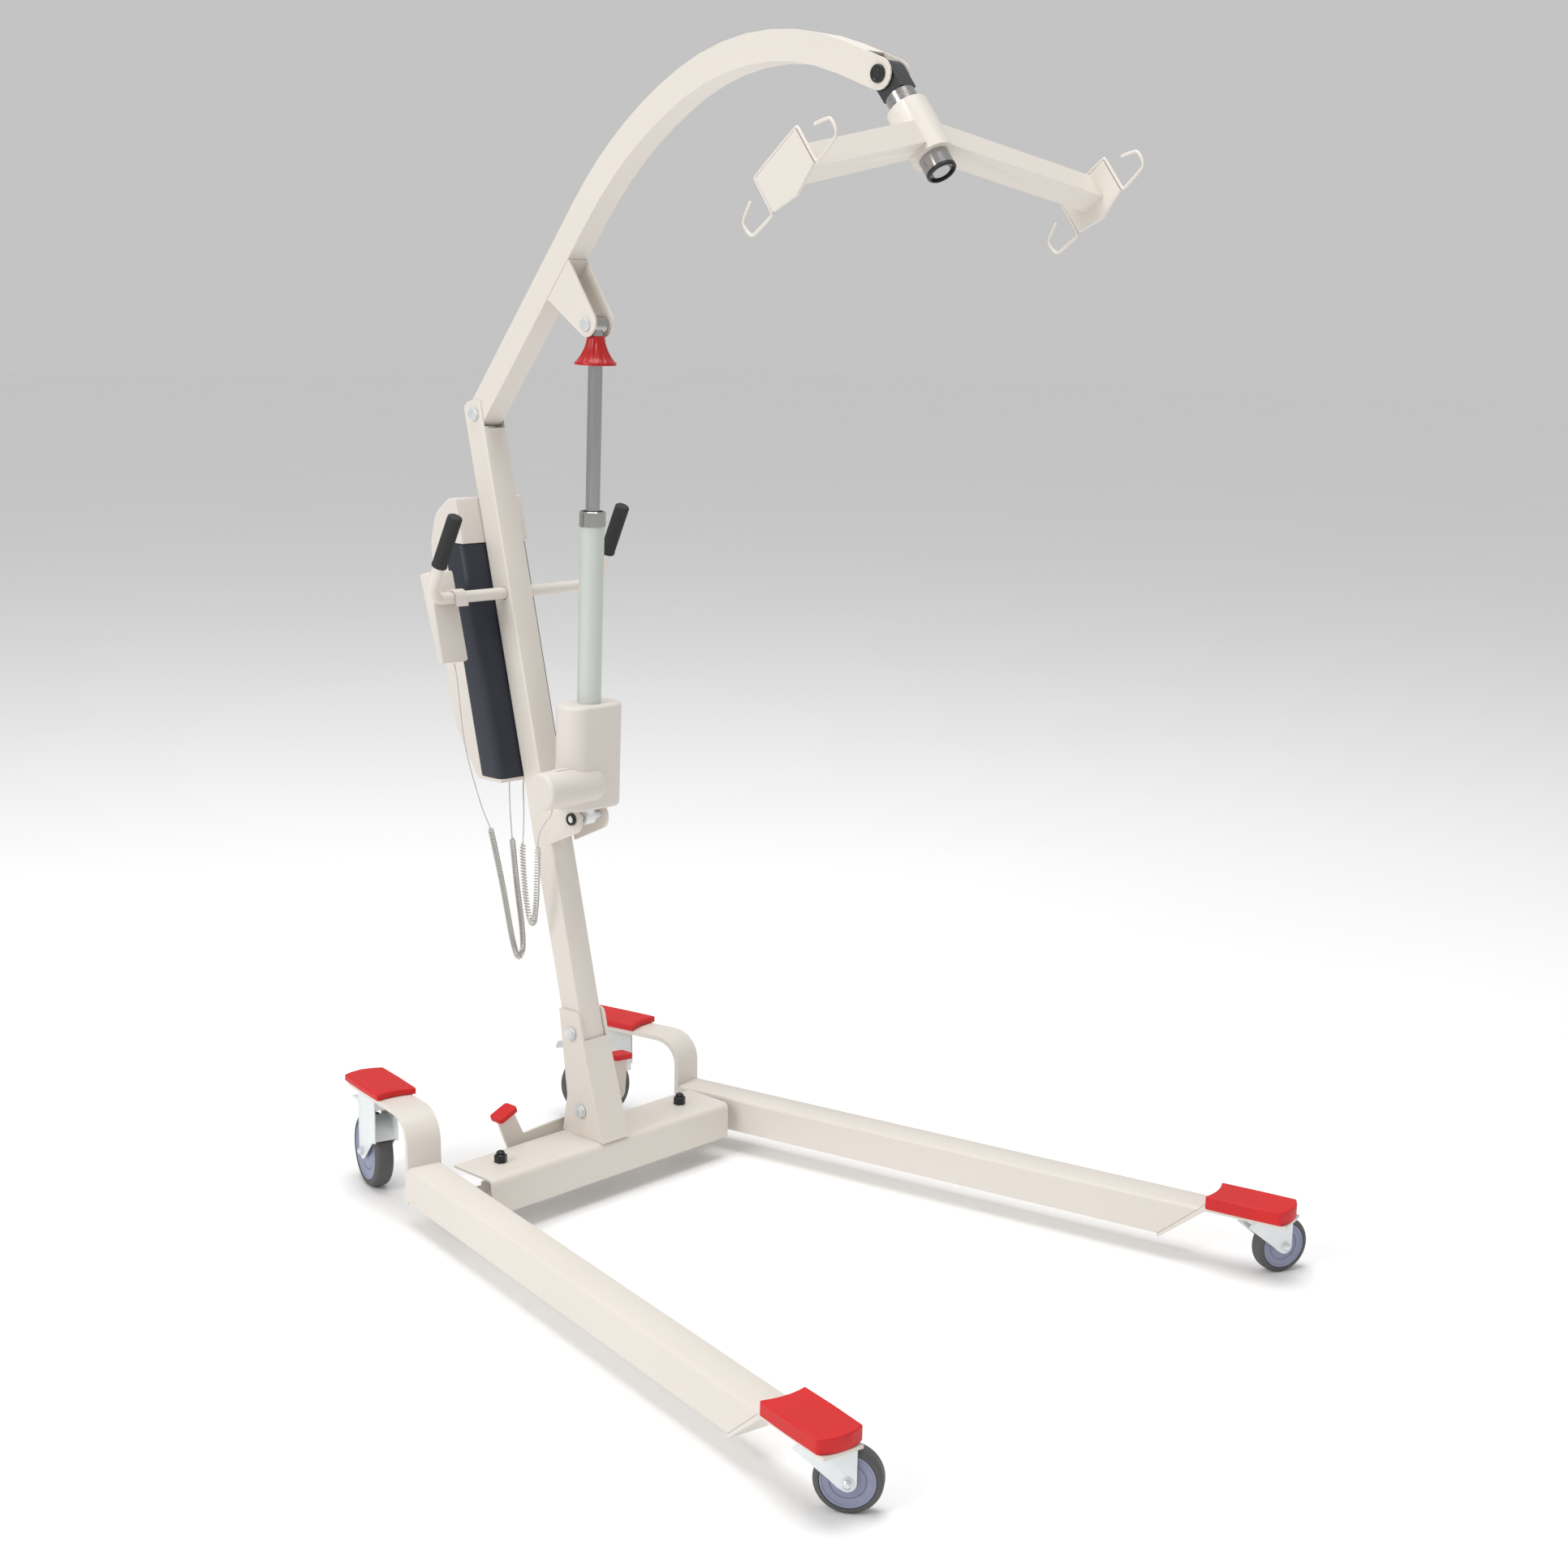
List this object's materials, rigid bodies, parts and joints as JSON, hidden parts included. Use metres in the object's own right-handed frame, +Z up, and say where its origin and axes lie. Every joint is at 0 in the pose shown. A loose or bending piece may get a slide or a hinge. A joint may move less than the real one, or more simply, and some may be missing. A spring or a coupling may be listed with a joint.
{
  "type": "patient floor lift",
  "caption": "Floor lift that raises a person in a sling: splaying base on casters, leaning mast, electric boom and swivelling spreader bar.",
  "frame": {"origin": "on the floor, at the middle of the bounding box of the base", "axes": "+Z up; the legs and the boom point to -Y; the operator stands at +Y; +X is the operator's left"},
  "size_m": [1.1431, 1.4013, 1.8532],
  "materials": {
    "frame_paint": "smooth powder coat, semi-gloss",
    "shell_plastic": "moulded, fine matte grain",
    "pad_red": "soft red rubber, matte",
    "bell_red": "moulded red plastic",
    "battery_navy": "moulded, matte",
    "grip_black": "grainy rubber",
    "button_navy": "moulded key",
    "button_black": "moulded key",
    "wheel_grey": "grey tread with a blue-grey hub",
    "zinc": "bright zinc plate",
    "bolt_black": "black oxide",
    "pin_black": "black cap with a pale centre",
    "block_black": "moulded block",
    "tube_grey": "satin anodised",
    "chrome": "polished",
    "cord_grey": "sheathed cord"
  },
  "bodies": {
    "frame": {"crossbeam": "frame_paint", "mast_socket": "frame_paint", "socket_bolt_upper": "zinc", "socket_bolt_lower": "zinc", "leg_bolt_left": "bolt_black", "leg_bolt_right": "bolt_black", "mast": "frame_paint", "lower_bracket": "frame_paint", "boom_bolt": "zinc", "lower_pin": "pin_black", "handle_bar": "frame_paint", "grip_left": "grip_black", "grip_right": "grip_black", "control_box": "shell_plastic", "battery": "battery_navy", "pendant_cord_lead": "cord_grey", "pendant_cord_coil": "cord_grey", "pendant_cord_tail": "cord_grey", "actuator_cord_lead": "cord_grey", "actuator_cord_coil": "cord_grey", "actuator_cord_tail": "cord_grey"},
    "leg_left": {"leg_left": "frame_paint", "caster_plate_left": "frame_paint", "front_cap_left": "pad_red", "rear_cap_left": "pad_red"},
    "leg_right": {"leg_right": "frame_paint", "caster_plate_right": "frame_paint", "front_cap_right": "pad_red", "rear_cap_right": "pad_red"},
    "pedal_rocker": {"pedal_rocker": "frame_paint", "pedal_pad_left": "pad_red", "pedal_pad_right": "pad_red"},
    "tie_rod_left": {"tie_rod_left": "zinc"},
    "tie_rod_right": {"tie_rod_right": "zinc"},
    "front_left_fork": {"front_left_fork": "zinc"},
    "front_left_wheel": {"front_left_wheel": "wheel_grey"},
    "front_right_fork": {"front_right_fork": "zinc"},
    "front_right_wheel": {"front_right_wheel": "wheel_grey"},
    "rear_left_fork": {"rear_left_fork": "zinc"},
    "rear_left_wheel": {"rear_left_wheel": "wheel_grey"},
    "rear_right_fork": {"rear_right_fork": "zinc"},
    "rear_right_wheel": {"rear_right_wheel": "wheel_grey"},
    "rear_left_brake": {"rear_left_brake": "zinc"},
    "rear_right_brake": {"rear_right_brake": "zinc"},
    "boom": {"boom": "frame_paint", "boom_bracket": "frame_paint", "upper_pin": "zinc", "swivel_pin": "pin_black"},
    "actuator_tube": {"actuator_housing": "shell_plastic", "actuator_tube": "tube_grey"},
    "actuator_rod": {"actuator_rod": "chrome", "lowering_bell": "bell_red"},
    "hanger": {"swivel_block": "block_black", "swivel_post": "chrome"},
    "spreader": {"spreader_bar": "frame_paint", "hook_wire_left": "frame_paint", "hook_wire_right": "frame_paint"},
    "pendant": {"pendant": "shell_plastic"},
    "button_up": {"button_up": "button_navy"},
    "button_down": {"button_down": "button_black"}
  },
  "joints": [
    {"name": "leg_left_splay", "type": "hinge", "parent": "frame", "child": "leg_left", "pos_m": [0.194, 0.3575, 0.051], "axis": [0, 0, 1], "range_deg": [-11.3, 0]},
    {"name": "leg_right_splay", "type": "hinge", "parent": "frame", "child": "leg_right", "pos_m": [-0.21, 0.3575, 0.051], "axis": [0, 0, 1], "range_deg": [0, 11.3]},
    {"name": "pedal_rock", "type": "hinge", "parent": "frame", "child": "pedal_rocker", "pos_m": [-0.008, 0.414, 0.058], "axis": [0, 1, 0], "range_deg": [0, 18.11]},
    {"name": "tie_rod_left_slide", "type": "slide", "parent": "frame", "child": "tie_rod_left", "axis": [1, 0, 0], "range_m": [0, 0.0048]},
    {"name": "tie_rod_right_slide", "type": "slide", "parent": "frame", "child": "tie_rod_right", "axis": [1, 0, 0], "range_m": [-0.0048, 0]},
    {"name": "front_left_swivel", "type": "hinge", "parent": "leg_left", "child": "front_left_fork", "pos_m": [0.5012, -0.62566, 0.09], "axis": [0, 0, 1], "continuous": true},
    {"name": "front_left_roll", "type": "hinge", "parent": "front_left_fork", "child": "front_left_wheel", "pos_m": [0.53788, -0.64161, 0.0452], "axis": [0.3987, 0.9171, 0], "continuous": true},
    {"name": "front_right_swivel", "type": "hinge", "parent": "leg_right", "child": "front_right_fork", "pos_m": [-0.5172, -0.62566, 0.09], "axis": [0, 0, 1], "continuous": true},
    {"name": "front_right_roll", "type": "hinge", "parent": "front_right_fork", "child": "front_right_wheel", "pos_m": [-0.4942, -0.65839, 0.0452], "axis": [0.8181, 0.575, 0], "continuous": true},
    {"name": "rear_left_swivel", "type": "hinge", "parent": "leg_left", "child": "rear_left_fork", "pos_m": [0.25749, 0.59403, 0.17], "axis": [0, 0, 1], "continuous": true},
    {"name": "rear_left_roll", "type": "hinge", "parent": "rear_left_fork", "child": "rear_left_wheel", "pos_m": [0.23293, 0.62035, 0.0625], "axis": [-0.7314, -0.682, 0], "continuous": true},
    {"name": "rear_right_swivel", "type": "hinge", "parent": "leg_right", "child": "rear_right_fork", "pos_m": [-0.27348, 0.59403, 0.17], "axis": [0, 0, 1], "continuous": true},
    {"name": "rear_right_roll", "type": "hinge", "parent": "rear_right_fork", "child": "rear_right_wheel", "pos_m": [-0.26236, 0.62826, 0.0625], "axis": [-0.9511, 0.309, 0], "continuous": true},
    {"name": "rear_left_brake_press", "type": "hinge", "parent": "rear_left_fork", "child": "rear_left_brake", "pos_m": [0.23703, 0.61596, 0.1435], "axis": [-0.7314, -0.682, 0], "range_deg": [0, 10]},
    {"name": "rear_right_brake_press", "type": "hinge", "parent": "rear_right_fork", "child": "rear_right_brake", "pos_m": [-0.26421, 0.62256, 0.1435], "axis": [-0.9511, 0.309, 0], "range_deg": [0, 10]},
    {"name": "boom_lift", "type": "hinge", "parent": "frame", "child": "boom", "pos_m": [-0.008, 0.6272, 1.287], "axis": [1, 0, 0], "range_deg": [-4, 32]},
    {"name": "actuator_pivot", "type": "hinge", "parent": "frame", "child": "actuator_tube", "pos_m": [-0.008, 0.375, 0.643], "axis": [1, 0, 0], "range_deg": [-0.6, 4.5]},
    {"name": "actuator_rod_pivot", "type": "hinge", "parent": "boom", "child": "actuator_rod", "pos_m": [-0.008, 0.355, 1.437], "axis": [1, 0, 0], "range_deg": [-28, 3.6]},
    {"name": "hanger_swing", "type": "hinge", "parent": "boom", "child": "hanger", "pos_m": [-0.008, -0.23856, 1.78203], "axis": [1, 0, 0], "range_deg": [-35, 60]},
    {"name": "spreader_spin", "type": "hinge", "parent": "hanger", "child": "spreader", "pos_m": [-0.008, -0.23856, 1.78203], "axis": [0.0366, 0.6241, 0.7805], "continuous": true},
    {"name": "pendant_lift_off", "type": "slide", "parent": "frame", "child": "pendant", "axis": [0, 0.2414, 0.9704], "range_m": [0, 0.06]},
    {"name": "button_up_press", "type": "slide", "parent": "pendant", "child": "button_up", "axis": [0, -0.9416, 0.3368], "range_m": [0, 0.002], "stiffness_N_per_m": 400},
    {"name": "button_down_press", "type": "slide", "parent": "pendant", "child": "button_down", "axis": [0, -0.9416, 0.3368], "range_m": [0, 0.002], "stiffness_N_per_m": 400}
  ],
  "couplings": [
    {"joint": "leg_right_splay", "follows": "leg_left_splay", "ratio": -1},
    {"joint": "pedal_rock", "follows": "leg_left_splay", "ratio": -1.5934},
    {"joint": "tie_rod_left_slide", "follows": "leg_left_splay", "m_per_rad": -0.02396},
    {"joint": "tie_rod_right_slide", "follows": "leg_left_splay", "m_per_rad": 0.02396},
    {"joint": "actuator_pivot", "follows": "boom_lift", "ratio": 0.137},
    {"joint": "actuator_rod_pivot", "follows": "boom_lift", "ratio": -0.863}
  ]
}
